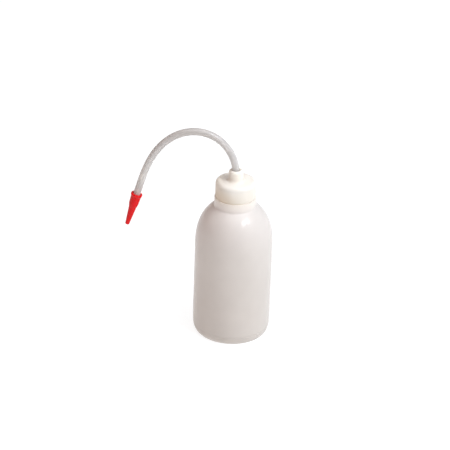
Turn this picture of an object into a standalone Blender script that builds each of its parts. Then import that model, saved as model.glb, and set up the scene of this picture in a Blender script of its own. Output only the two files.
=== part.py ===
"""Laboratory wash bottle.

A squeeze bottle with a screw cap. A bent delivery tube stands in the cap's boss and
carries a pull-off nozzle, and a straight dip tube hangs from the cap into the bottle.
The bottle stands on Z = 0 with its axis on Z, and the delivery tube bends towards -X.
Units are metres.
"""

import math

import bmesh
import bpy
from mathutils import Matrix, Vector

MM = 0.001
TAU = math.tau

# Bottle body
BODY_RADIUS = 37.5 * MM
WALL = 1.2 * MM
FLOOR_TOP = 3.0 * MM
HEEL_DEPTH = 4.7 * MM
HEEL_HEIGHT = 11.5 * MM
PAD_RADIUS = 10.5 * MM
FOOT_INNER_RADIUS = 28.8 * MM
RECESS_DEPTH = 1.2 * MM
SHOULDER_START = 93.3 * MM
SHOULDER_REACH = 51.4 * MM
SHOULDER_POWER = 2.48

# Neck: a plain collar under the cap, then the threaded finish
COLLAR_RADIUS = 20.1 * MM
COLLAR_TOP = 145.6 * MM
COLLAR_BOTTOM = 138.2 * MM
WAIST_RADIUS = 19.8 * MM
COLLAR_ROUND = 0.8 * MM
COLLAR_WALL = 1.6 * MM
FINISH_RADIUS = 16.3 * MM
BORE_RADIUS = 14.6 * MM
LIP_TOP = 159.0 * MM
LIP_ROUND = 0.5 * MM

# Cap
GAP = 0.3 * MM
CAP_RADIUS = 19.5 * MM
CAP_WALL = 1.5 * MM
CAP_BOTTOM = COLLAR_TOP + GAP
CAP_TOP = 162.6 * MM
CAP_ROUND = 3.5 * MM
CAP_CEILING = 160.6 * MM
BOSS_RADIUS = 7.1 * MM
BOSS_TOP = 173.6 * MM
BOSS_ROUND = 2.4 * MM
BOSS_FILLET = 3.0 * MM
SEAT_Z = 163.5 * MM
WEB_BOTTOM = 160.3 * MM
WEB_HOLE_RADIUS = 2.1 * MM
MOUTH_DEPTH = 5.1 * MM
MOUTH_FLARE = 0.5 * MM
NIPPLE_RADIUS = 5.4 * MM
NIPPLE_BOTTOM = 150.2 * MM
CHAMFER = 0.4 * MM

# Thread, right-handed
PITCH = 4.0 * MM
NECK_THREAD_START = 149.2 * MM
NECK_THREAD_TURNS = 1.5
CAP_THREAD_TURNS = 1.3
RIDGE_HEIGHT = 1.2 * MM
RIDGE_ROOT_WIDTH = 1.9 * MM
RIDGE_CREST_WIDTH = 0.8 * MM
RIDGE_BURY = 0.45 * MM
RIDGE_FADE_ANGLE = math.radians(30)
RIDGE_PHASE = math.radians(2)

# Sealing ring between the neck's lip and the cap's ceiling
SEAL_THICKNESS = 1.0 * MM
SEAL_OUTER_RADIUS = 17.4 * MM
SEAL_INNER_RADIUS = 6.4 * MM

# Delivery tube
TUBE_RADIUS = 3.5 * MM
TUBE_BORE_RADIUS = 2.4 * MM
BEND_START = 166.0 * MM
EASE_IN_LENGTH = 51.9 * MM
EASE_IN_RADIUS = 61.0 * MM
BEND_RADIUS = 37.0 * MM
BEND_ANGLE = 0.642
EASE_OUT_LENGTH = 82.0 * MM
STRAIGHT_TO_NOZZLE = 4.8 * MM
TUBE_STATIONS = 30

# Dip tube
DIP_RADIUS = 3.0 * MM
DIP_BORE_RADIUS = 1.9 * MM
DIP_BOTTOM = 7.0 * MM
DIP_CUT_SLOPE = 0.5

# Nozzle, measured along its own axis from the rim
NOZZLE_LENGTH = 34.7 * MM
SOCKET_DEPTH = 11.4 * MM
SOCKET_RADIUS = TUBE_RADIUS + GAP
RIM_RADIUS = 5.6 * MM
SLEEVE_TOP_RADIUS = 5.1 * MM
SLEEVE_END_RADIUS = 4.7 * MM
CONE_START = 15.4 * MM
CONE_START_RADIUS = 3.75 * MM
TIP_RADIUS = 2.0 * MM
ORIFICE_RADIUS = 0.9 * MM

# Mesh resolution
BODY_SEGMENTS = 40
TUBE_SEGMENTS = 16
NOZZLE_SEGMENTS = 24
SHARP_ANGLE = math.radians(32)


def clear_scene():
    for obj in list(bpy.data.objects):
        bpy.data.objects.remove(obj, do_unlink=True)


def plastic(name, colour, roughness, transmission=0.0):
    """A plain plastic with one Principled BSDF."""
    material = bpy.data.materials.new(name)
    material.use_nodes = True
    shader = material.node_tree.nodes["Principled BSDF"]
    shader.inputs["Base Color"].default_value = (*colour, 1.0)
    shader.inputs["Roughness"].default_value = roughness
    shader.inputs["Metallic"].default_value = 0.0
    shader.inputs["Transmission Weight"].default_value = transmission
    material.diffuse_color = (*colour, 1.0)
    return material


def add_object(name, bm, material, location=(0.0, 0.0, 0.0), rotation=None):
    """Links the bmesh as a smooth-shaded object, with its faces pointing out."""
    bmesh.ops.recalc_face_normals(bm, faces=bm.faces)
    mesh = bpy.data.meshes.new(name)
    bm.to_mesh(mesh)
    bm.free()
    mesh.shade_smooth()
    mesh.set_sharp_from_angle(angle=SHARP_ANGLE)
    mesh.materials.append(material)
    obj = bpy.data.objects.new(name, mesh)
    obj.location = location
    if rotation is not None:
        obj.rotation_euler = rotation.to_euler()
    bpy.context.scene.collection.objects.link(obj)
    return obj


def arc(centre, radius, start, end, steps):
    """Points (r, z) on a circular arc, angles in degrees from the +r direction."""
    points = []
    for i in range(steps + 1):
        angle = math.radians(start + (end - start) * i / steps)
        points.append((centre[0] + radius * math.cos(angle), centre[1] + radius * math.sin(angle)))
    return points


def heel(depth, height, bottom, radius, steps=5):
    """Quarter ellipse from the foot up to the side wall."""
    points = []
    for i in range(steps + 1):
        angle = math.radians(90) * i / steps
        r = radius - depth + depth * math.sin(angle)
        points.append((r, bottom + height * (1 - math.cos(angle))))
    return points


def shoulder_point(angle, inset=0.0):
    """Point on the shoulder's superellipse, moved inwards by inset along its normal."""
    reach = SHOULDER_REACH
    power = 2 / SHOULDER_POWER
    cosine = math.cos(angle)
    sine = math.sin(angle)
    r = BODY_RADIUS - reach + reach * cosine**power
    z = SHOULDER_START + reach * sine**power
    normal = Vector((cosine ** (2 - power), sine ** (2 - power))).normalized()
    return r - inset * normal.x, z - inset * normal.y


def shoulder(end_radius, inset=0.0, steps=10):
    """Shoulder outline from the side wall up to the radius where the neck begins."""
    cosine = ((end_radius - BODY_RADIUS + SHOULDER_REACH) / SHOULDER_REACH) ** (SHOULDER_POWER / 2)
    end_angle = math.acos(cosine)
    return [shoulder_point(end_angle * i / steps, inset) for i in range(steps + 1)]


def turned(outline, segments):
    """Closed solid of revolution about Z. An outline either closes on itself or runs
    from the axis to the axis."""
    bm = bmesh.new()
    verts = [bm.verts.new((r, 0.0, z)) for r, z in outline]
    edges = [bm.edges.new(pair) for pair in zip(verts, verts[1:])]
    if outline[0][0] > 0.0:
        edges.append(bm.edges.new((verts[-1], verts[0])))
    bmesh.ops.spin(
        bm,
        geom=verts + edges,
        axis=(0.0, 0.0, 1.0),
        angle=TAU,
        steps=segments,
        use_merge=True,
    )
    bmesh.ops.remove_doubles(bm, verts=bm.verts, dist=1e-6)
    return bm


def bridge(bm, ring_a, ring_b):
    """Quads between two rings of equal length."""
    count = len(ring_a)
    for i in range(count):
        j = (i + 1) % count
        bm.faces.new((ring_a[i], ring_a[j], ring_b[j], ring_b[i]))


def thread_ridge(wall_radius, height, start_z, turns, start_turn):
    """Helical ridge on a wall. A positive height stands outwards, a negative one inwards.
    Both ends fade into the wall."""
    bm = bmesh.new()
    side = math.copysign(1.0, height)
    steps = round(BODY_SEGMENTS * turns)
    root = wall_radius - side * RIDGE_BURY
    rings = []
    for i in range(steps + 1):
        turn = start_turn + turns * i / steps
        angle = TAU * turn + RIDGE_PHASE
        from_end = TAU * turns * min(i, steps - i) / steps
        fade = 0.1 + 0.9 * min(1.0, from_end / RIDGE_FADE_ANGLE)
        crest = wall_radius + height * fade
        z = start_z + PITCH * turn
        section = (
            (root, -RIDGE_ROOT_WIDTH / 2),
            (crest, -RIDGE_CREST_WIDTH / 2),
            (crest, RIDGE_CREST_WIDTH / 2),
            (root, RIDGE_ROOT_WIDTH / 2),
        )
        ring = [bm.verts.new((r * math.cos(angle), r * math.sin(angle), z + dz)) for r, dz in section]
        rings.append(ring)
    for ring_a, ring_b in zip(rings, rings[1:]):
        bridge(bm, ring_a, ring_b)
    bm.faces.new(rings[0])
    bm.faces.new(rings[-1])
    return bm


def add_thread(target, name, bm):
    """Joins a thread ridge to its wall with a Boolean union."""
    ridge = add_object(name, bm, target.data.materials[0])
    ridge.hide_render = True
    ridge.display_type = "WIRE"
    union = target.modifiers.new("thread", "BOOLEAN")
    union.operation = "UNION"
    union.solver = "EXACT"
    union.object = ridge


def bottle_outline():
    """Outside from the axis up to the lip, then down the inside to the axis again."""
    foot = [
        (0.0, 0.0),
        (PAD_RADIUS, 0.0),
        (PAD_RADIUS + RECESS_DEPTH, RECESS_DEPTH),
        (FOOT_INNER_RADIUS - RECESS_DEPTH, RECESS_DEPTH),
        (FOOT_INNER_RADIUS, 0.0),
    ]
    outer_heel = heel(HEEL_DEPTH, HEEL_HEIGHT, 0.0, BODY_RADIUS)
    outer_shoulder = shoulder(WAIST_RADIUS)
    waist = [(WAIST_RADIUS, COLLAR_BOTTOM - COLLAR_RADIUS + WAIST_RADIUS), (COLLAR_RADIUS, COLLAR_BOTTOM)]
    collar_centre = (COLLAR_RADIUS - COLLAR_ROUND, COLLAR_TOP - COLLAR_ROUND)
    collar = arc(collar_centre, COLLAR_ROUND, 0, 90, 3)
    outer_lip = arc((FINISH_RADIUS - LIP_ROUND, LIP_TOP - LIP_ROUND), LIP_ROUND, 0, 90, 2)
    inner_lip = arc((BORE_RADIUS + LIP_ROUND, LIP_TOP - LIP_ROUND), LIP_ROUND, 90, 180, 2)
    collar_inside = COLLAR_RADIUS - COLLAR_WALL
    collar_ceiling = COLLAR_TOP - COLLAR_WALL
    inside_neck = [
        (BORE_RADIUS, collar_ceiling),
        (collar_inside - COLLAR_ROUND, collar_ceiling),
        (collar_inside, collar_ceiling - COLLAR_ROUND),
        (collar_inside, COLLAR_BOTTOM - COLLAR_WALL / 2),
    ]
    inner_shoulder = shoulder(WAIST_RADIUS, WALL, steps=6)[::-1]
    inner_heel = heel(HEEL_DEPTH - WALL, HEEL_HEIGHT - FLOOR_TOP, FLOOR_TOP, BODY_RADIUS - WALL)[::-1]
    outside = foot + outer_heel + outer_shoulder + waist + collar + [(FINISH_RADIUS, COLLAR_TOP)] + outer_lip
    inside = inner_lip + inside_neck + inner_shoulder + inner_heel + [(0.0, FLOOR_TOP)]
    return outside + inside


def make_bottle(material):
    bottle = add_object("bottle", turned(bottle_outline(), BODY_SEGMENTS), material)
    ridge = thread_ridge(FINISH_RADIUS, RIDGE_HEIGHT, NECK_THREAD_START, NECK_THREAD_TURNS, 0.0)
    add_thread(bottle, "neck_thread_guide", ridge)
    return bottle


def cap_outline():
    """Outside up to the boss's mouth, down through the tube seats, and back under the
    ceiling to the skirt."""
    skirt_inside = CAP_RADIUS - CAP_WALL
    seat_radius = TUBE_RADIUS + GAP
    dip_seat_radius = DIP_RADIUS + GAP
    skirt = [
        (skirt_inside, CAP_BOTTOM),
        (CAP_RADIUS - CHAMFER, CAP_BOTTOM),
        (CAP_RADIUS, CAP_BOTTOM + CHAMFER),
    ]
    crown = arc((CAP_RADIUS - CAP_ROUND, CAP_TOP - CAP_ROUND), CAP_ROUND, 0, 90, 5)
    fillet_centre = (BOSS_RADIUS + BOSS_FILLET, CAP_TOP + BOSS_FILLET)
    boss_fillet = arc(fillet_centre, BOSS_FILLET, 270, 180, 4)
    boss_edge = arc((BOSS_RADIUS - BOSS_ROUND, BOSS_TOP - BOSS_ROUND), BOSS_ROUND, 0, 90, 4)
    passage = [
        (seat_radius + MOUTH_FLARE, BOSS_TOP),
        (seat_radius, BOSS_TOP - MOUTH_DEPTH),
        (seat_radius, SEAT_Z),
        (WEB_HOLE_RADIUS, SEAT_Z),
        (WEB_HOLE_RADIUS, WEB_BOTTOM),
        (dip_seat_radius, WEB_BOTTOM),
        (dip_seat_radius, NIPPLE_BOTTOM),
        (NIPPLE_RADIUS - CHAMFER, NIPPLE_BOTTOM),
        (NIPPLE_RADIUS, NIPPLE_BOTTOM + CHAMFER),
        (NIPPLE_RADIUS, CAP_CEILING),
        (skirt_inside - CHAMFER, CAP_CEILING),
        (skirt_inside, CAP_CEILING - CHAMFER),
    ]
    return skirt + crown + boss_fillet + boss_edge + passage


def make_cap(material):
    cap = add_object("cap", turned(cap_outline(), BODY_SEGMENTS), material)
    start = NECK_THREAD_START - PITCH / 2
    first_turn = NECK_THREAD_TURNS - CAP_THREAD_TURNS
    ridge = thread_ridge(CAP_RADIUS - CAP_WALL, -RIDGE_HEIGHT, start, CAP_THREAD_TURNS, first_turn)
    add_thread(cap, "cap_thread_guide", ridge)
    return cap


def make_seal(material):
    top = CAP_CEILING - GAP
    bottom = top - SEAL_THICKNESS
    outline = [
        (SEAL_INNER_RADIUS, bottom),
        (SEAL_OUTER_RADIUS, bottom),
        (SEAL_OUTER_RADIUS, top),
        (SEAL_INNER_RADIUS, top),
    ]
    return add_object("cap_seal", turned(outline, BODY_SEGMENTS), material)


def curvature(s):
    """Curvature of the delivery tube's centreline at a distance s past the bend's start."""
    arc_length = BEND_RADIUS * BEND_ANGLE
    if s < EASE_IN_LENGTH:
        share = s / EASE_IN_LENGTH
        return (1 - share) / EASE_IN_RADIUS + share / BEND_RADIUS
    if s < EASE_IN_LENGTH + arc_length:
        return 1 / BEND_RADIUS
    left = EASE_IN_LENGTH + arc_length + EASE_OUT_LENGTH - s
    return max(0.0, left) / EASE_OUT_LENGTH / BEND_RADIUS


def centreline():
    """Stations (point, heading) along the bend. The heading is the angle from +Z to -X."""
    length = EASE_IN_LENGTH + BEND_RADIUS * BEND_ANGLE + EASE_OUT_LENGTH
    substeps = 20
    ds = length / (TUBE_STATIONS * substeps)
    x = 0.0
    z = BEND_START
    heading = 0.0
    stations = [(Vector((x, 0.0, z)), heading)]
    for i in range(TUBE_STATIONS * substeps):
        middle = heading + 0.5 * ds * curvature((i + 0.5) * ds)
        x -= ds * math.sin(middle)
        z += ds * math.cos(middle)
        heading += ds * curvature((i + 0.5) * ds)
        if (i + 1) % substeps == 0:
            stations.append((Vector((x, 0.0, z)), heading))
    return stations


def direction(heading):
    return Vector((-math.sin(heading), 0.0, math.cos(heading)))


def ring_at(bm, point, heading, radius, segments):
    """Circle of vertices square to the centreline."""
    across = Vector((math.cos(heading), 0.0, math.sin(heading)))
    side = Vector((0.0, 1.0, 0.0))
    ring = []
    for i in range(segments):
        angle = TAU * i / segments
        ring.append(bm.verts.new(point + radius * (across * math.cos(angle) + side * math.sin(angle))))
    return ring


def make_delivery_tube(material, stations, rim_point, heading):
    """Hollow tube from its seat in the boss, round the bend and into the nozzle's socket."""
    seat = (Vector((0.0, 0.0, SEAT_Z + GAP)), 0.0)
    end = (rim_point + direction(heading) * (SOCKET_DEPTH - GAP), heading)
    path = [seat, *stations, end]
    bm = bmesh.new()
    outer = [ring_at(bm, point, turn, TUBE_RADIUS, TUBE_SEGMENTS) for point, turn in path]
    inner = [ring_at(bm, point, turn, TUBE_BORE_RADIUS, TUBE_SEGMENTS) for point, turn in path]
    for rings in (outer, inner):
        for ring_a, ring_b in zip(rings, rings[1:]):
            bridge(bm, ring_a, ring_b)
    bridge(bm, outer[0], inner[0])
    bridge(bm, outer[-1], inner[-1])
    return add_object("delivery_tube", bm, material)


def make_dip_tube(material):
    """Straight tube with a slanted lower end, so that it can't seal against the floor."""
    bm = turned(
        [
            (DIP_BORE_RADIUS, DIP_BOTTOM),
            (DIP_RADIUS, DIP_BOTTOM),
            (DIP_RADIUS, WEB_BOTTOM - GAP),
            (DIP_BORE_RADIUS, WEB_BOTTOM - GAP),
        ],
        TUBE_SEGMENTS,
    )
    for vert in bm.verts:
        if vert.co.z < DIP_BOTTOM + MM:
            vert.co.z += DIP_CUT_SLOPE * vert.co.x
    return add_object("dip_tube", bm, material)


def make_nozzle(material, rim_point, heading):
    """Tapered nozzle, turned about its own axis and set on the delivery tube's end."""
    lip_height = 2.2 * MM
    outline = [
        (SOCKET_RADIUS + CHAMFER, 0.0),
        (RIM_RADIUS - CHAMFER, 0.0),
        (RIM_RADIUS, CHAMFER),
        (RIM_RADIUS, lip_height - 2 * CHAMFER),
        (SLEEVE_TOP_RADIUS, lip_height + CHAMFER),
        (SLEEVE_END_RADIUS, SOCKET_DEPTH),
        (CONE_START_RADIUS, CONE_START),
        (TIP_RADIUS, NOZZLE_LENGTH - CHAMFER),
        (TIP_RADIUS - CHAMFER, NOZZLE_LENGTH),
        (ORIFICE_RADIUS, NOZZLE_LENGTH),
        (ORIFICE_RADIUS, NOZZLE_LENGTH - 5 * MM),
        (TUBE_BORE_RADIUS, CONE_START),
        (TUBE_BORE_RADIUS, SOCKET_DEPTH),
        (SOCKET_RADIUS, SOCKET_DEPTH),
        (SOCKET_RADIUS, CHAMFER),
    ]
    tilt = Matrix.Rotation(-heading, 3, "Y")
    return add_object("nozzle", turned(outline, NOZZLE_SEGMENTS), material, rim_point, tilt)


def main():
    clear_scene()
    milky = plastic("bottle_polyethylene", (0.86, 0.84, 0.82), 0.35, 0.3)
    ivory = plastic("cap_polypropylene", (0.93, 0.90, 0.84), 0.3)
    clear = plastic("tube_polyethylene", (0.82, 0.80, 0.78), 0.3, 0.5)
    foam = plastic("seal_foam", (0.95, 0.95, 0.93), 0.8)
    red = plastic("nozzle_polyethylene", (0.80, 0.02, 0.02), 0.3)

    stations = centreline()
    bend_end, heading = stations[-1]
    rim_point = bend_end + direction(heading) * STRAIGHT_TO_NOZZLE

    bottle = make_bottle(milky)
    seal = make_seal(foam)
    cap = make_cap(ivory)
    dip_tube = make_dip_tube(clear)
    delivery_tube = make_delivery_tube(clear, stations, rim_point, heading)
    nozzle = make_nozzle(red, rim_point, heading)

    # Each piece hangs from the one that carries it. The first five share the Z axis.
    seal.parent = bottle
    cap.parent = seal
    dip_tube.parent = cap
    delivery_tube.parent = cap
    nozzle.parent = delivery_tube


main()
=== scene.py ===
"""Looks of the laboratory wash bottle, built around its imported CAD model.

Each visible piece is a fine turned or swept mesh that stands for its CAD node and rides
on the same body. Lengths are in metres, in the CAD model's frame: the bottle stands on
Z = 0 with its axis on Z, and the delivery tube bends towards -X.
"""

import math

import bmesh
import bpy
from mathutils import Matrix, Vector, noise


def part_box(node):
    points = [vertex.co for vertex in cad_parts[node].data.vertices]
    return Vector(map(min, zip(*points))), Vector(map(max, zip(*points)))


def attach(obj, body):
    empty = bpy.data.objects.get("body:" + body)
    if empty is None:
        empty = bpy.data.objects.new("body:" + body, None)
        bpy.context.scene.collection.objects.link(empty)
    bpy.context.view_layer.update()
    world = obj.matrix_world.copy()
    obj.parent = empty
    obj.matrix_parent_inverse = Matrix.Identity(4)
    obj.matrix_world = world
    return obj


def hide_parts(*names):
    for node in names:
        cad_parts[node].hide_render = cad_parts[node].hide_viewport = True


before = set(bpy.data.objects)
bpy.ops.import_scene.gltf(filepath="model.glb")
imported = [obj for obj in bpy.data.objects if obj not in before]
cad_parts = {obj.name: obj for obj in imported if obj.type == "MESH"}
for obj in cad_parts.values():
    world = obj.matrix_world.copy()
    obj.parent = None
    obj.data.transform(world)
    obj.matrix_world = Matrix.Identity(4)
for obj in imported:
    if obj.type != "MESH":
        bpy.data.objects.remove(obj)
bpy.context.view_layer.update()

MM = 0.001
TAU = math.tau

# Sizes read from the CAD boxes
_, BOTTLE_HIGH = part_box("bottle")
CAP_LOW, CAP_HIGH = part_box("cap")
SEAL_LOW, SEAL_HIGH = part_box("cap_seal")
DIP_LOW, DIP_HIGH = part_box("dip_tube")
_, TUBE_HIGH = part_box("delivery_tube")
BODY_RADIUS = BOTTLE_HIGH.x
LIP_TOP = BOTTLE_HIGH.z
CAP_RADIUS = CAP_HIGH.x
CAP_BOTTOM = CAP_LOW.z
BOSS_TOP = CAP_HIGH.z
SEAL_RADIUS = SEAL_HIGH.x
DIP_RADIUS = DIP_HIGH.x
TUBE_RADIUS = TUBE_HIGH.y

# Bottle
WALL = 1.2 * MM
FLOOR_TOP = 3.0 * MM
HEEL_DEPTH = 4.7 * MM
HEEL_HEIGHT = 11.5 * MM
PAD_RADIUS = 10.5 * MM
FOOT_INNER_RADIUS = 28.8 * MM
RECESS_DEPTH = 1.2 * MM
PAD_ROUND = 0.4 * MM
FOOT_ROUND = 0.5 * MM
GROOVE_HEIGHTS = (5.6 * MM, 8.2 * MM)
GROOVE_WIDTH = 0.8 * MM
GROOVE_DEPTH = 0.2 * MM
GROOVE_PROFILE = ((-0.5, 0.0), (-0.2, 1.0), (0.2, 1.0), (0.5, 0.0))
SHOULDER_START = 93.3 * MM
SHOULDER_REACH = 51.4 * MM
SHOULDER_POWER = 2.48
COLLAR_RADIUS = 20.1 * MM
COLLAR_TOP = 145.6 * MM
COLLAR_BOTTOM = 138.2 * MM
COLLAR_ROUND = 0.35 * MM
WAIST_FILLET = 2.0 * MM
COLLAR_WALL = 1.6 * MM
WAIST_RADIUS = 19.8 * MM
FINISH_RADIUS = 16.3 * MM
FINISH_FOOT_ROUND = 0.4 * MM
BORE_RADIUS = 14.6 * MM
LIP_ROUND = 0.5 * MM
INNER_COLLAR_ROUND = 0.8 * MM
SEAMS = (0.0, math.pi)
SEAM_HEIGHT = 0.07 * MM
SEAM_HALF_ANGLE = math.radians(0.7)
SEAM_STEPS_DEG = (-0.9, -0.45, 0.0, 0.45, 0.9)
WANDER_HEIGHT = 0.10 * MM
WANDER_SCALE = 1.7

# Cap
CAP_WALL = 1.5 * MM
CAP_TOP = 162.6 * MM
CAP_ROUND = 3.5 * MM
CAP_CEILING = 160.6 * MM
BOSS_RADIUS = 7.1 * MM
BOSS_ROUND = 2.6 * MM
BOSS_FILLET = 3.0 * MM
SEAT_Z = 163.5 * MM
WEB_BOTTOM = 160.3 * MM
WEB_HOLE_RADIUS = 2.1 * MM
MOUTH_DEPTH = 5.1 * MM
MOUTH_FLARE = 0.45 * MM
MOUTH_ROUND = 0.3 * MM
MOUTH_BLEND = 1.0 * MM
BOSS_SEAT_CLEARANCE = 0.1 * MM
SKIRT_DROP = 0.22 * MM
SKIRT_ROUND = 0.15 * MM
NIPPLE_RADIUS = 5.4 * MM
NIPPLE_BOTTOM = 150.2 * MM
NIPPLE_ROUND = 0.6 * MM
INNER_ROUND = 0.3 * MM
WIDE_INNER_ROUND = 0.4 * MM
SEAL_BORE_CLEARANCE = 1 * MM
SEAL_ROUND = 0.3 * MM
GAP = 0.3 * MM

# Right-handed thread
PITCH = 4.0 * MM
NECK_THREAD_START = 149.2 * MM
NECK_THREAD_TURNS = 1.5
CAP_THREAD_TURNS = 1.3
RIDGE_HEIGHT = 1.2 * MM
RIDGE_ROOT_WIDTH = 1.9 * MM
RIDGE_CREST_WIDTH = 0.8 * MM
RIDGE_FADE_ANGLE = math.radians(30)
THREAD_LEAD_IN = 0.6 * MM
ON_WALL = 0.02 * MM

# Delivery tube and nozzle
TUBE_BORE_RADIUS = 2.4 * MM
DIP_BORE_RADIUS = 1.9 * MM
DIP_CUT_SLOPE = 0.5
TUBE_EDGE = 0.25 * MM
TUBE_EDGE_SHARE = 0.6
BEND_START = 166.0 * MM
EASE_IN_LENGTH = 51.9 * MM
EASE_IN_RADIUS = 61.0 * MM
BEND_RADIUS = 37.0 * MM
BEND_ANGLE = 0.642
EASE_OUT_LENGTH = 82.0 * MM
STRAIGHT_TO_NOZZLE = 4.8 * MM
NOZZLE_LENGTH = 34.7 * MM
SOCKET_DEPTH = 11.4 * MM
RIM_RADIUS = 5.6 * MM
SLEEVE_TOP_RADIUS = 5.1 * MM
SLEEVE_END_RADIUS = 4.7 * MM
CONE_START = 15.4 * MM
CONE_START_RADIUS = 3.75 * MM
TIP_RADIUS = 2.0 * MM
TIP_ROUND = 0.9 * MM
ORIFICE_RADIUS = 0.9 * MM
ORIFICE_DEPTH = 5 * MM
ORIFICE_BLEND = 2.0 * MM
BORE_BLEND = 1.0 * MM
NOZZLE_SOCKET_CLEARANCE = 0.08 * MM
NOZZLE_MOUTH_FLARE = 0.4 * MM
NOZZLE_MOUTH_DEPTH = 0.6 * MM
NOZZLE_MOUTH_ROUND = 0.3 * MM
RIM_HEIGHT = 1.9 * MM
RIM_ROUND = 0.6 * MM
SLEEVE_START = 2.6 * MM
SLEEVE_TOP_ROUND = 0.5 * MM
SLEEVE_BLEND = 3.0 * MM
NOZZLE_EDGE_ROUND = 0.2 * MM

# Mesh fineness
SEGMENTS = 160
TUBE_SEGMENTS = 40
NOZZLE_SEGMENTS = 72
TUBE_STATIONS = 150
SUBSTEPS = 8
WALL_STEP = 4 * MM
THREAD_STEP = 0.25 * MM
DIP_STEP = 6 * MM

# Moulded plastics
COAT_ROUGHNESS = 0.12
ROUGHNESS_SPREAD = 0.05
SMEAR_RATIO = 2.3
PEEL_DEPTH = 0.1 * MM

# Camera
CAMERA_ELEVATION = math.radians(29)
CAMERA_ROLL = math.radians(2.07)
CAMERA_DISTANCE = 2.5
CAMERA_LENS = 206.0
CAMERA_TARGET = Vector((0.0, 0.0, 0.080))
AIM_RIGHT = -8.0 * MM
AIM_UP = 29.6 * MM
SENSOR_WIDTH = 36.0

# Studio
FLOOR_HALF_SIZE = 6.0
FLOOR_GREY = 0.30
FLOOR_GLOW = 0.83
WARM_ROOM = (0.16, 0.07, 0.03, 1.0)
PALE_ROOM = (0.38, 0.43, 0.48, 1.0)
ROOM_BLEND = 0.6
DAYLIGHT = (0.90, 0.95, 1.0)
SOFT_DAYLIGHT = (0.93, 0.96, 1.0)
LIGHT_TARGET = Vector((0.0, 0.0, 0.10))


# ---------------------------------------------------------------- outlines


def fillet(before, corner, after, radius, steps=5):
    """Arc that rounds a corner of an outline."""
    a = (Vector(before) - Vector(corner)).normalized()
    b = (Vector(after) - Vector(corner)).normalized()
    half = a.angle(b) / 2
    reach = radius / math.tan(half)
    centre = Vector(corner) + (a + b).normalized() * radius / math.sin(half)
    start = Vector(corner) + a * reach - centre
    sweep = math.pi - 2 * half
    turn = 1.0 if a.cross(b) < 0 else -1.0
    points = []
    for i in range(steps + 1):
        points.append(tuple(centre + Matrix.Rotation(turn * sweep * i / steps, 2) @ start))
    return points


def outline_of(corners, closed=True):
    """Outline (r, z) through corners given as (r, z) or (r, z, fillet radius)."""
    points = []
    count = len(corners)
    for i, corner in enumerate(corners):
        ends = not closed and i in (0, count - 1)
        if len(corner) == 2 or ends:
            points.append(corner[:2])
            continue
        before = corners[i - 1][:2]
        after = corners[(i + 1) % count][:2]
        points += fillet(before, corner[:2], after, corner[2])
    return points


def heel(depth, height, bottom, radius, steps=18):
    """Quarter ellipse from the foot up to the side wall."""
    points = []
    for i in range(steps + 1):
        angle = math.radians(90) * i / steps
        r = radius - depth + depth * math.sin(angle)
        points.append((r, bottom + height * (1 - math.cos(angle))))
    return points


def grooved_heel():
    """Outside of the heel, with two fine grooves round it."""
    points = heel(HEEL_DEPTH, HEEL_HEIGHT, 0.0, BODY_RADIUS)
    for height in GROOVE_HEIGHTS:
        points = [p for p in points if abs(p[1] - height) > GROOVE_WIDTH]
        for across, sunk in GROOVE_PROFILE:
            z = height + across * GROOVE_WIDTH
            sine = math.sqrt(1 - (1 - z / HEEL_HEIGHT) ** 2)
            points.append((BODY_RADIUS - HEEL_DEPTH * (1 - sine) - sunk * GROOVE_DEPTH, z))
    return sorted(points, key=lambda p: p[1])


def shoulder_point(angle, inset=0.0):
    """Point on the shoulder's superellipse, moved inwards by inset along its normal."""
    power = 2 / SHOULDER_POWER
    cosine = math.cos(angle)
    sine = math.sin(angle)
    r = BODY_RADIUS - SHOULDER_REACH + SHOULDER_REACH * cosine**power
    z = SHOULDER_START + SHOULDER_REACH * sine**power
    normal = Vector((cosine ** (2 - power), sine ** (2 - power))).normalized()
    return r - inset * normal.x, z - inset * normal.y


def shoulder(inset=0.0, steps=40):
    """Shoulder outline from the side wall up to the waist under the collar."""
    share = (WAIST_RADIUS - BODY_RADIUS + SHOULDER_REACH) / SHOULDER_REACH
    end_angle = math.acos(share ** (SHOULDER_POWER / 2))
    return [shoulder_point(end_angle * i / steps, inset) for i in range(steps + 1)]


def rows(r, z_low, z_high, step):
    """Points up a straight wall, a step apart, for a surface that a shift will shape."""
    count = max(1, round((z_high - z_low) / step))
    return [(r, z_low + (z_high - z_low) * i / count) for i in range(count + 1)]


# ---------------------------------------------------------------- meshes


def angles_with_seams(seams, count=SEGMENTS):
    """Angles round a turned piece, with extra ones beside each mould seam."""
    found = {round(TAU * i / count, 6) for i in range(count)}
    for seam in seams:
        for step in SEAM_STEPS_DEG:
            found.add(round((seam + math.radians(step)) % TAU, 6))
    return sorted(found)


def finished(name, bm, material, smooth_angle=40):
    """Links the bmesh as a smooth-shaded piece."""
    bmesh.ops.remove_doubles(bm, verts=bm.verts, dist=1e-7)
    bmesh.ops.recalc_face_normals(bm, faces=bm.faces)
    mesh = bpy.data.meshes.new(name)
    bm.to_mesh(mesh)
    bm.free()
    mesh.shade_smooth()
    mesh.set_sharp_from_angle(angle=math.radians(smooth_angle))
    mesh.materials.append(material)
    obj = bpy.data.objects.new(name, mesh)
    bpy.context.scene.collection.objects.link(obj)
    return obj


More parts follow.
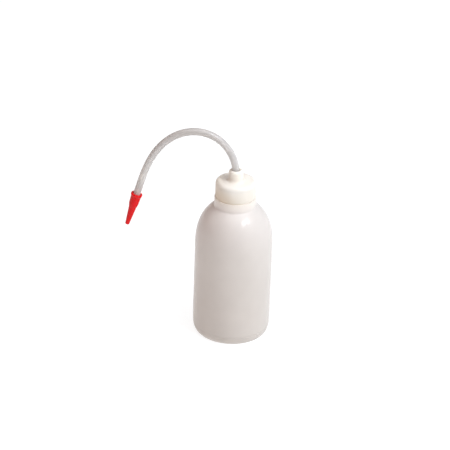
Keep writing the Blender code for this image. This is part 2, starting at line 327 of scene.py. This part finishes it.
def turned(name, outline, material, angles, shift=None, place=None):
    """Solid of revolution. shift(angle, r, z) gives the change of radius at a point, and
    place moves the finished mesh. An outline closes on itself or runs from axis to axis."""
    bm = bmesh.new()
    rings = []
    for r, z in outline:
        if r == 0.0:
            rings.append([bm.verts.new((0.0, 0.0, z))])
            continue
        ring = []
        for angle in angles:
            radius = r + (shift(angle, r, z) if shift else 0.0)
            ring.append(bm.verts.new((radius * math.cos(angle), radius * math.sin(angle), z)))
        rings.append(ring)
    pairs = list(zip(rings, rings[1:]))
    if outline[0][0] > 0.0:
        pairs.append((rings[-1], rings[0]))
    count = len(angles)
    for a, b in pairs:
        for i in range(count):
            j = (i + 1) % count
            corners = [a[i % len(a)], a[j % len(a)], b[j % len(b)], b[i % len(b)]]
            bm.faces.new(dict.fromkeys(corners))
    if place is not None:
        bm.transform(place)
    return finished(name, bm, material)


def ring_at(bm, point, heading, radius, count):
    """Circle of vertices square to a path in the XZ plane."""
    across = Vector((math.cos(heading), 0.0, math.sin(heading)))
    side = Vector((0.0, 1.0, 0.0))
    ring = []
    for i in range(count):
        angle = TAU * i / count
        outwards = across * math.cos(angle) + side * math.sin(angle)
        ring.append(bm.verts.new(point + radius * outwards))
    return ring


def hollow_tube(name, path, radius, bore, material):
    """Tube with rounded ends along path, a list of (point, heading)."""
    start, start_heading = path[0]
    end, end_heading = path[-1]
    start_edge = start + direction(start_heading) * TUBE_EDGE
    end_edge = end - direction(end_heading) * TUBE_EDGE
    middle = (radius + bore) / 2
    end_radius = middle + (radius - middle) * TUBE_EDGE_SHARE
    end_bore = middle - (middle - bore) * TUBE_EDGE_SHARE
    stations = [(start, start_heading, end_radius, end_bore)]
    stations.append((start_edge, start_heading, radius, bore))
    stations += [(point, heading, radius, bore) for point, heading in path[1:-1]]
    stations.append((end_edge, end_heading, radius, bore))
    stations.append((end, end_heading, end_radius, end_bore))
    bm = bmesh.new()
    outer = [ring_at(bm, p, h, r, TUBE_SEGMENTS) for p, h, r, _ in stations]
    inner = [ring_at(bm, p, h, b, TUBE_SEGMENTS) for p, h, _, b in stations]
    pairs = list(zip(outer, outer[1:])) + list(zip(inner, inner[1:]))
    pairs += [(outer[0], inner[0]), (outer[-1], inner[-1])]
    for a, b in pairs:
        for i in range(TUBE_SEGMENTS):
            j = (i + 1) % TUBE_SEGMENTS
            bm.faces.new((a[i], a[j], b[j], b[i]))
    return finished(name, bm, material)


# ---------------------------------------------------------------- materials


def node(tree, kind, **values):
    """New shader node, with values given to its inputs or else to its own settings."""
    made = tree.nodes.new(kind)
    for key, value in values.items():
        if key in made.inputs:
            made.inputs[key].default_value = value
        else:
            setattr(made, key, value)
    return made


def moulded_plastic(
    name,
    colour,
    shade,
    roughness,
    transmission=0.0,
    subsurface=0.0,
    subsurface_scale=3 * MM,
    mottle_scale=60.0,
    grain_scale=900.0,
    grain=0.08,
    specular=0.5,
    coat=0.0,
    painted_light_and_shade_by_height=(),
    painted_shade_patch=None,
):
    """Moulded plastic: a cloudy drift between two near colours, a fine orange-peel surface
    and a roughness that wanders a little. The first tint list gives (height, tint) from the
    bottom up and paints light and shade by height; the second is a direction with a like
    list of (distance along it, tint) and paints shade on one side."""
    material = bpy.data.materials.new(name)
    material.use_nodes = True
    tree = material.node_tree
    shader = tree.nodes["Principled BSDF"]
    shader.inputs["Metallic"].default_value = 0.0
    shader.inputs["Specular IOR Level"].default_value = specular
    shader.inputs["Coat Weight"].default_value = coat
    shader.inputs["Coat Roughness"].default_value = COAT_ROUGHNESS
    shader.inputs["Transmission Weight"].default_value = transmission
    shader.inputs["Subsurface Weight"].default_value = subsurface
    shader.inputs["Subsurface Scale"].default_value = subsurface_scale
    shader.inputs["Subsurface Radius"].default_value = (1.0, 1.0, 1.0)
    place = node(tree, "ShaderNodeTexCoord")

    cloud = node(tree, "ShaderNodeTexNoise", Scale=mottle_scale, Detail=3.0, Roughness=0.55)
    mix = node(tree, "ShaderNodeMix", data_type="RGBA")
    mix.inputs["A"].default_value = (*shade, 1.0)
    mix.inputs["B"].default_value = (*colour, 1.0)
    spread = node(tree, "ShaderNodeMapRange")
    spread.inputs["From Min"].default_value = 0.3
    spread.inputs["From Max"].default_value = 0.7
    tree.links.new(place.outputs["Object"], cloud.inputs["Vector"])
    tree.links.new(cloud.outputs["Fac"], spread.inputs["Value"])
    tree.links.new(spread.outputs["Result"], mix.inputs["Factor"])
    paint = mix.outputs["Result"]
    # Painted light and shade by height
    if painted_light_and_shade_by_height:
        paint = tinted_along(tree, place, paint, (0.0, 0.0, 1.0), painted_light_and_shade_by_height)
    # Painted shade on one side, along a direction
    if painted_shade_patch:
        paint = tinted_along(tree, place, paint, *painted_shade_patch)
    tree.links.new(paint, shader.inputs["Base Color"])

    smear = node(tree, "ShaderNodeTexNoise", Scale=mottle_scale * SMEAR_RATIO, Detail=5.0)
    gloss = node(tree, "ShaderNodeMapRange")
    gloss.inputs["To Min"].default_value = roughness - ROUGHNESS_SPREAD
    gloss.inputs["To Max"].default_value = roughness + ROUGHNESS_SPREAD
    tree.links.new(place.outputs["Object"], smear.inputs["Vector"])
    tree.links.new(smear.outputs["Fac"], gloss.inputs["Value"])
    tree.links.new(gloss.outputs["Result"], shader.inputs["Roughness"])

    peel = node(tree, "ShaderNodeTexNoise", Scale=grain_scale, Detail=2.0)
    bump = node(tree, "ShaderNodeBump", Strength=grain, Distance=PEEL_DEPTH)
    tree.links.new(place.outputs["Object"], peel.inputs["Vector"])
    tree.links.new(peel.outputs["Fac"], bump.inputs["Height"])
    tree.links.new(bump.outputs["Normal"], shader.inputs["Normal"])
    return material


def tinted_along(tree, place, paint, way, tints):
    """Multiplies a colour by tints given at distances along a direction."""
    low = tints[0][0]
    high = tints[-1][0]
    along = node(tree, "ShaderNodeVectorMath", operation="DOT_PRODUCT")
    along.inputs[1].default_value = way
    share = node(tree, "ShaderNodeMapRange")
    share.inputs["From Min"].default_value = low
    share.inputs["From Max"].default_value = high
    ramp = node(tree, "ShaderNodeValToRGB")
    stops = ramp.color_ramp.elements
    while len(stops) < len(tints):
        stops.new(0.5)
    for stop, (distance, tint) in zip(stops, tints):
        stop.position = (distance - low) / (high - low)
        stop.color = (*tint, 1.0)
    blend = node(tree, "ShaderNodeMix", data_type="RGBA", blend_type="MULTIPLY")
    blend.inputs["Factor"].default_value = 1.0
    tree.links.new(place.outputs["Object"], along.inputs[0])
    tree.links.new(along.outputs["Value"], share.inputs["Value"])
    tree.links.new(share.outputs["Result"], ramp.inputs["Fac"])
    tree.links.new(paint, blend.inputs["A"])
    tree.links.new(ramp.outputs["Color"], blend.inputs["B"])
    return blend.outputs["Result"]


# ---------------------------------------------------------------- pieces


def ridge(distance):
    """Height, 0 to 1, of a thread ridge at a distance from its middle line."""
    flank = (RIDGE_ROOT_WIDTH - RIDGE_CREST_WIDTH) / 2
    share = (RIDGE_ROOT_WIDTH / 2 - abs(distance)) / flank
    share = min(1.0, max(0.0, share))
    return share * share * (3 - 2 * share)


def thread_height(angle, z, start_z, first_turn, last_turn):
    """Height of a helical thread at a point of its wall. Both ends fade out."""
    height = 0.0
    for lap in range(math.ceil(last_turn) + 1):
        turn = angle / TAU + lap
        if not first_turn <= turn <= last_turn:
            continue
        from_end = TAU * min(turn - first_turn, last_turn - turn)
        fade = min(1.0, from_end / RIDGE_FADE_ANGLE)
        height = max(height, fade * ridge(z - start_z - PITCH * turn))
    return height * RIDGE_HEIGHT


def bottle_shift(angle, r, z):
    """Thread on the neck, mould seams at both sides, and a slight wander of the blown wall."""
    if abs(r - FINISH_RADIUS) < ON_WALL and COLLAR_TOP < z < LIP_TOP:
        return thread_height(angle, z, NECK_THREAD_START, 0.0, NECK_THREAD_TURNS)
    shift = 0.0
    outside = r > BODY_RADIUS - 0.6 * WALL or (z > SHOULDER_START and r > COLLAR_RADIUS)
    if outside and z > HEEL_HEIGHT:
        near = min(abs((angle - seam + math.pi) % TAU - math.pi) for seam in SEAMS)
        shift += SEAM_HEIGHT * max(0.0, 1.0 - near / SEAM_HALF_ANGLE)
    if HEEL_HEIGHT < z < COLLAR_BOTTOM and r > WAIST_RADIUS:
        at = Vector((math.cos(angle), math.sin(angle), z / BODY_RADIUS))
        calm = min(1.0, (z - HEEL_HEIGHT) / HEEL_HEIGHT, (COLLAR_BOTTOM - z) / HEEL_HEIGHT)
        shift += WANDER_HEIGHT * calm * noise.noise(at * WANDER_SCALE)
    return shift


def make_bottle(material):
    """Hollow body, collar and threaded neck in one turned outline."""
    inner_radius = BODY_RADIUS - WALL
    outer_shoulder = shoulder()
    thread_low = NECK_THREAD_START - RIDGE_ROOT_WIDTH
    thread_high = NECK_THREAD_START + PITCH * NECK_THREAD_TURNS + RIDGE_ROOT_WIDTH
    collar_inside = COLLAR_RADIUS - COLLAR_WALL
    collar_ceiling = COLLAR_TOP - COLLAR_WALL
    corners = [
        (0.0, 0.0),
        (PAD_RADIUS, 0.0, PAD_ROUND),
        (PAD_RADIUS + RECESS_DEPTH, RECESS_DEPTH, PAD_ROUND),
        (FOOT_INNER_RADIUS - RECESS_DEPTH, RECESS_DEPTH, FOOT_ROUND),
        (FOOT_INNER_RADIUS, 0.0, FOOT_ROUND),
    ]
    corners += grooved_heel()
    corners += rows(BODY_RADIUS, HEEL_HEIGHT, SHOULDER_START, WALL_STEP)[1:-1]
    corners += outer_shoulder[:-1]
    corners += [
        (COLLAR_RADIUS, outer_shoulder[-1][1], WAIST_FILLET),
        (COLLAR_RADIUS, COLLAR_TOP, COLLAR_ROUND),
        (FINISH_RADIUS, COLLAR_TOP, FINISH_FOOT_ROUND),
    ]
    corners += rows(FINISH_RADIUS, thread_low, thread_high, THREAD_STEP)
    corners += [
        (FINISH_RADIUS, LIP_TOP, LIP_ROUND),
        (BORE_RADIUS, LIP_TOP, LIP_ROUND),
        (BORE_RADIUS, collar_ceiling, INNER_COLLAR_ROUND),
        (collar_inside, collar_ceiling, COLLAR_ROUND),
        (collar_inside, COLLAR_BOTTOM - COLLAR_WALL / 2, INNER_COLLAR_ROUND),
    ]
    corners += shoulder(WALL)[::-1][1:]
    corners += rows(inner_radius, HEEL_HEIGHT, SHOULDER_START, WALL_STEP)[::-1][1:-1]
    corners += heel(HEEL_DEPTH - WALL, HEEL_HEIGHT - FLOOR_TOP, FLOOR_TOP, inner_radius)[::-1]
    corners.append((0.0, FLOOR_TOP))
    outline = outline_of(corners, closed=False)
    bottle = turned("bottle_shell", outline, material, angles_with_seams(SEAMS), bottle_shift)
    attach(bottle, "base")
    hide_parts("bottle")


def cap_shift(angle, r, z):
    """Thread inside the skirt."""
    inside = CAP_RADIUS - CAP_WALL
    if abs(r - inside) > ON_WALL or z < CAP_BOTTOM or z > CAP_CEILING:
        return 0.0
    first = NECK_THREAD_TURNS - CAP_THREAD_TURNS
    start = NECK_THREAD_START - PITCH / 2
    return -thread_height(angle, z, start, first, NECK_THREAD_TURNS)


def make_cap(material):
    """Skirt and top, the boss that holds the delivery tube and the dip tube's nipple."""
    inside = CAP_RADIUS - CAP_WALL
    seat = TUBE_RADIUS + BOSS_SEAT_CLEARANCE
    bottom = CAP_BOTTOM - SKIRT_DROP
    dip_seat = DIP_RADIUS + GAP
    thread_top = NECK_THREAD_START - PITCH / 2 + PITCH * NECK_THREAD_TURNS + RIDGE_ROOT_WIDTH
    corners = [
        (inside, bottom, INNER_ROUND),
        (CAP_RADIUS, bottom, SKIRT_ROUND),
        (CAP_RADIUS, CAP_TOP, CAP_ROUND),
        (BOSS_RADIUS, CAP_TOP, BOSS_FILLET),
        (BOSS_RADIUS, BOSS_TOP, BOSS_ROUND),
        (seat + MOUTH_FLARE, BOSS_TOP, MOUTH_ROUND),
        (seat, BOSS_TOP - MOUTH_DEPTH, MOUTH_BLEND),
        (seat, SEAT_Z),
        (WEB_HOLE_RADIUS, SEAT_Z, INNER_ROUND),
        (WEB_HOLE_RADIUS, WEB_BOTTOM, INNER_ROUND),
        (dip_seat, WEB_BOTTOM),
        (dip_seat, NIPPLE_BOTTOM, WIDE_INNER_ROUND),
        (NIPPLE_RADIUS, NIPPLE_BOTTOM, NIPPLE_ROUND),
        (NIPPLE_RADIUS, CAP_CEILING, INNER_ROUND),
        (inside, CAP_CEILING, WIDE_INNER_ROUND),
    ]
    corners += rows(inside, CAP_BOTTOM + THREAD_LEAD_IN, thread_top, THREAD_STEP)[::-1]
    angles = angles_with_seams(())
    cap = turned("screw_cap_shell", outline_of(corners), material, angles, cap_shift)
    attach(cap, "screw_cap")
    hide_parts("cap")


def make_seal(material):
    """Flat ring between the neck's lip and the cap's ceiling."""
    bore = NIPPLE_RADIUS + SEAL_BORE_CLEARANCE
    corners = [
        (SEAL_RADIUS, SEAL_LOW.z, SEAL_ROUND),
        (SEAL_RADIUS, SEAL_HIGH.z, SEAL_ROUND),
        (bore, SEAL_HIGH.z, SEAL_ROUND),
        (bore, SEAL_LOW.z, SEAL_ROUND),
    ]
    seal = turned("sealing_ring", outline_of(corners), material, angles_with_seams(()))
    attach(seal, "lift_ring")
    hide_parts("cap_seal")


def curvature(s):
    """Curvature of the delivery tube's centreline at a distance s past the bend's start."""
    arc_length = BEND_RADIUS * BEND_ANGLE
    if s < EASE_IN_LENGTH:
        share = s / EASE_IN_LENGTH
        return (1 - share) / EASE_IN_RADIUS + share / BEND_RADIUS
    if s < EASE_IN_LENGTH + arc_length:
        return 1 / BEND_RADIUS
    left = EASE_IN_LENGTH + arc_length + EASE_OUT_LENGTH - s
    return max(0.0, left) / EASE_OUT_LENGTH / BEND_RADIUS


def direction(heading):
    """The heading is the angle from +Z towards -X."""
    return Vector((-math.sin(heading), 0.0, math.cos(heading)))


def centreline():
    """Stations (point, heading) along the bend."""
    length = EASE_IN_LENGTH + BEND_RADIUS * BEND_ANGLE + EASE_OUT_LENGTH
    ds = length / (TUBE_STATIONS * SUBSTEPS)
    point = Vector((0.0, 0.0, BEND_START))
    heading = 0.0
    stations = [(point.copy(), heading)]
    for i in range(TUBE_STATIONS * SUBSTEPS):
        bend = ds * curvature((i + 0.5) * ds)
        point += ds * direction(heading + bend / 2)
        heading += bend
        if (i + 1) % SUBSTEPS == 0:
            stations.append((point.copy(), heading))
    return stations


def make_delivery_tube(material, stations, rim_point, heading):
    """Hollow tube from its seat in the boss, round the bend and into the nozzle's socket."""
    seat = (Vector((0.0, 0.0, SEAT_Z + GAP)), 0.0)
    end = (rim_point + direction(heading) * (SOCKET_DEPTH - GAP), heading)
    path = [seat, *stations, end]
    tube = hollow_tube("delivery_tube_bent", path, TUBE_RADIUS, TUBE_BORE_RADIUS, material)
    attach(tube, "spout")
    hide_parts("delivery_tube")


def make_dip_tube(material):
    """Straight tube down from the cap, with a slanting cut at its foot."""
    bottom = DIP_LOW.z + DIP_CUT_SLOPE * DIP_RADIUS
    path = [(Vector((0.0, 0.0, z)), 0.0) for _, z in rows(0.0, bottom, DIP_HIGH.z, DIP_STEP)]
    tube = hollow_tube("dip_tube_straight", path, DIP_RADIUS, DIP_BORE_RADIUS, material)
    for vert in tube.data.vertices:
        if vert.co.z < bottom + 1 * MM:
            vert.co.z += DIP_CUT_SLOPE * vert.co.x
    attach(tube, "screw_cap")
    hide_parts("dip_tube")


def make_nozzle(material, rim_point, heading):
    """Sleeve that grips the tube, and a bored cone down to the tip."""
    socket = TUBE_RADIUS + NOZZLE_SOCKET_CLEARANCE
    corners = [
        (socket + NOZZLE_MOUTH_FLARE, 0.0, NOZZLE_EDGE_ROUND),
        (RIM_RADIUS, 0.0, RIM_ROUND),
        (RIM_RADIUS, RIM_HEIGHT, RIM_ROUND),
        (SLEEVE_TOP_RADIUS, SLEEVE_START, SLEEVE_TOP_ROUND),
        (SLEEVE_END_RADIUS, SOCKET_DEPTH, SLEEVE_BLEND),
        (CONE_START_RADIUS, CONE_START, SLEEVE_BLEND),
        (TIP_RADIUS, NOZZLE_LENGTH, TIP_ROUND),
        (ORIFICE_RADIUS, NOZZLE_LENGTH, NOZZLE_EDGE_ROUND),
        (ORIFICE_RADIUS, NOZZLE_LENGTH - ORIFICE_DEPTH, ORIFICE_BLEND),
        (TUBE_BORE_RADIUS, CONE_START, BORE_BLEND),
        (TUBE_BORE_RADIUS, SOCKET_DEPTH, NOZZLE_EDGE_ROUND),
        (socket, SOCKET_DEPTH, NOZZLE_EDGE_ROUND),
        (socket, NOZZLE_MOUTH_DEPTH, NOZZLE_MOUTH_ROUND),
    ]
    place = Matrix.Translation(rim_point) @ Matrix.Rotation(-heading, 4, "Y")
    angles = angles_with_seams((), NOZZLE_SEGMENTS)
    nozzle = turned("nozzle_tip_red", outline_of(corners), material, angles, place=place)
    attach(nozzle, "nozzle_tip")
    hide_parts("nozzle")


# ---------------------------------------------------------------- studio


def make_floor():
    """Pale floor that glows enough to stay white under the bottle."""
    bm = bmesh.new()
    bmesh.ops.create_grid(bm, x_segments=1, y_segments=1, size=FLOOR_HALF_SIZE)
    material = bpy.data.materials.new("pale_floor")
    material.use_nodes = True
    shader = material.node_tree.nodes["Principled BSDF"]
    shader.inputs["Base Color"].default_value = (FLOOR_GREY, FLOOR_GREY, FLOOR_GREY, 1.0)
    shader.inputs["Roughness"].default_value = 0.9
    shader.inputs["Specular IOR Level"].default_value = 0.0
    shader.inputs["Emission Color"].default_value = (1.0, 1.0, 1.0, 1.0)
    shader.inputs["Emission Strength"].default_value = FLOOR_GLOW
    floor = finished("floor", bm, material)


def area_light(name, azimuth, elevation, distance, size, radiance, colour):
    """Softbox that faces the bottle, from the azimuth from +X towards +Y and elevation."""
    turn = math.radians(azimuth)
    lift = math.radians(elevation)
    level = Vector((math.cos(turn), math.sin(turn), 0.0)) * math.cos(lift)
    away = level + Vector((0.0, 0.0, math.sin(lift)))
    light = bpy.data.lights.new(name, "AREA")
    light.shape = "RECTANGLE"
    light.size, light.size_y = size
    light.energy = radiance * math.pi * size[0] * size[1]
    light.color = colour
    obj = bpy.data.objects.new(name, light)
    obj.location = LIGHT_TARGET + away * distance
    obj.rotation_euler = away.to_track_quat("Z", "Y").to_euler()
    bpy.context.scene.collection.objects.link(obj)


def make_light():
    """Dim warm room on the left and pale one on the right, with softboxes at the right."""
    world = bpy.data.worlds.new("studio")
    bpy.context.scene.world = world
    world.use_nodes = True
    tree = world.node_tree
    place = node(tree, "ShaderNodeTexCoord")
    split = node(tree, "ShaderNodeSeparateXYZ")
    mix = node(tree, "ShaderNodeMix", data_type="RGBA")
    mix.inputs["A"].default_value = WARM_ROOM
    mix.inputs["B"].default_value = PALE_ROOM
    spread = node(tree, "ShaderNodeMapRange", interpolation_type="SMOOTHSTEP")
    spread.inputs["From Min"].default_value = -ROOM_BLEND
    spread.inputs["From Max"].default_value = ROOM_BLEND
    tree.links.new(place.outputs["Generated"], split.inputs["Vector"])
    tree.links.new(split.outputs["X"], spread.inputs["Value"])
    tree.links.new(spread.outputs["Result"], mix.inputs["Factor"])
    tree.links.new(mix.outputs["Result"], tree.nodes["Background"].inputs["Color"])
    area_light("key_softbox_left", -48, 46, 1.3, (0.18, 0.34), 20.0, DAYLIGHT)
    area_light("key_softbox_right", -25, 45, 1.3, (0.26, 0.36), 19.0, DAYLIGHT)
    area_light("overhead_softbox", -60, 80, 1.5, (1.6, 1.6), 2.2, SOFT_DAYLIGHT)


def make_camera():
    """Long lens from the front, above the bottle, with a slight roll and an aim off centre."""
    forward = Vector((0.0, math.cos(CAMERA_ELEVATION), -math.sin(CAMERA_ELEVATION)))
    level_right = Vector((1.0, 0.0, 0.0))
    level_up = level_right.cross(forward)
    right = level_right * math.cos(CAMERA_ROLL) + level_up * math.sin(CAMERA_ROLL)
    up = level_up * math.cos(CAMERA_ROLL) - level_right * math.sin(CAMERA_ROLL)
    place = CAMERA_TARGET - forward * CAMERA_DISTANCE
    aim = CAMERA_TARGET + right * AIM_RIGHT + up * AIM_UP
    back = (place - aim).normalized()
    right = up.cross(back).normalized()
    up = back.cross(right)
    data = bpy.data.cameras.new("camera")
    data.lens = CAMERA_LENS
    data.sensor_width = SENSOR_WIDTH
    camera = bpy.data.objects.new("camera", data)
    turn = Matrix((right, up, back)).transposed()
    camera.matrix_world = Matrix.Translation(place) @ turn.to_4x4()
    bpy.context.scene.collection.objects.link(camera)
    bpy.context.scene.camera = camera


def main():
    milky = moulded_plastic(
        "milky_polyethylene",
        colour=(0.87, 0.80, 0.745),
        shade=(0.815, 0.745, 0.69),
        roughness=0.45,
        transmission=0.28,
        mottle_scale=25.0,
        specular=0.15,
        coat=0.5,
        # Painted shade: darker at the foot, where the contact shadow falls. Painted light:
        # brighter up the shoulder and collar, as lit from above.
        painted_light_and_shade_by_height=[
            (0.0, (0.70, 0.68, 0.67)),
            (3 * MM, (0.86, 0.85, 0.84)),
            (8 * MM, (0.92, 0.91, 0.90)),
            (30 * MM, (0.96, 0.95, 0.94)),
            (95 * MM, (1.0, 1.0, 1.0)),
            (120 * MM, (1.04, 1.04, 1.05)),
            (135 * MM, (1.06, 1.06, 1.07)),
            (COLLAR_BOTTOM + 1 * MM, (1.20, 1.20, 1.20)),
            (COLLAR_TOP, (1.26, 1.24, 1.20)),
        ],
    )
    ivory = moulded_plastic(
        "ivory_polypropylene",
        colour=(0.93, 0.855, 0.765),
        shade=(0.91, 0.83, 0.735),
        roughness=0.30,
        subsurface=0.4,
        subsurface_scale=6 * MM,
        mottle_scale=40.0,
        specular=0.35,
        # Painted shade: the lower skirt is darker and warmer, as shaded by the neck inside it.
        painted_light_and_shade_by_height=[
            (CAP_BOTTOM, (0.96, 0.93, 0.89)),
            (156 * MM, (0.98, 0.965, 0.945)),
            (160 * MM, (0.97, 0.97, 0.97)),
            (BOSS_TOP, (0.97, 0.97, 0.96)),
        ],
        # Painted shade: the lower left of the cap is darker and warmer, on the side away from
        # the softboxes.
        painted_shade_patch=(
            (1.0, 0.0, 1.0),
            [
                (CAP_BOTTOM - CAP_RADIUS, (0.80, 0.68, 0.57)),
                (CAP_BOTTOM - 0.4 * CAP_RADIUS, (0.93, 0.87, 0.80)),
                (CAP_BOTTOM + 0.4 * CAP_RADIUS, (1.0, 1.0, 1.0)),
            ],
        ),
    )
    stations = centreline()
    bend_end, heading = stations[-1]
    rim_point = bend_end + direction(heading) * STRAIGHT_TO_NOZZLE
    clear = moulded_plastic(
        "translucent_tube",
        colour=(0.83, 0.785, 0.75),
        shade=(0.79, 0.745, 0.71),
        roughness=0.36,
        transmission=0.5,
        mottle_scale=40.0,
        grain=0.0,
        specular=0.2,
        coat=0.45,
        # Painted reflection: pink from the red nozzle near its mouth. Painted light: brighter
        # at the seat in the boss. Painted shade: darker over the top of the bend.
        painted_light_and_shade_by_height=[
            (rim_point.z - 1 * MM, (1.08, 0.80, 0.80)),
            (rim_point.z + 3 * MM, (1.04, 0.92, 0.92)),
            (rim_point.z + 9 * MM, (1.02, 1.01, 1.01)),
            (SEAT_Z, (1.16, 1.17, 1.17)),
            (182 * MM, (1.04, 1.05, 1.06)),
            (200 * MM, (1.02, 1.02, 1.03)),
            (TUBE_HIGH.z, (0.93, 0.92, 0.91)),
        ],
    )
    clear_inside = moulded_plastic(
        "translucent_dip_tube",
        colour=(0.86, 0.83, 0.80),
        shade=(0.82, 0.79, 0.76),
        roughness=0.22,
        transmission=0.5,
        mottle_scale=40.0,
        grain=0.0,
        specular=0.35,
    )
    foam = moulded_plastic(
        "foam_liner",
        colour=(0.93, 0.93, 0.91),
        shade=(0.86, 0.86, 0.84),
        roughness=0.85,
        mottle_scale=400.0,
        grain_scale=2500.0,
        grain=0.5,
    )
    red = moulded_plastic(
        "red_polyethylene",
        colour=(0.80, 0.006, 0.009),
        shade=(0.70, 0.003, 0.005),
        roughness=0.22,
        mottle_scale=120.0,
        grain=0.03,
        specular=0.2,
    )
    make_bottle(milky)
    make_cap(ivory)
    make_seal(foam)
    make_delivery_tube(clear, stations, rim_point, heading)
    make_dip_tube(clear_inside)
    make_nozzle(red, rim_point, heading)
    make_floor()
    make_light()
    make_camera()
    bpy.context.scene.view_settings.view_transform = "Standard"


main()
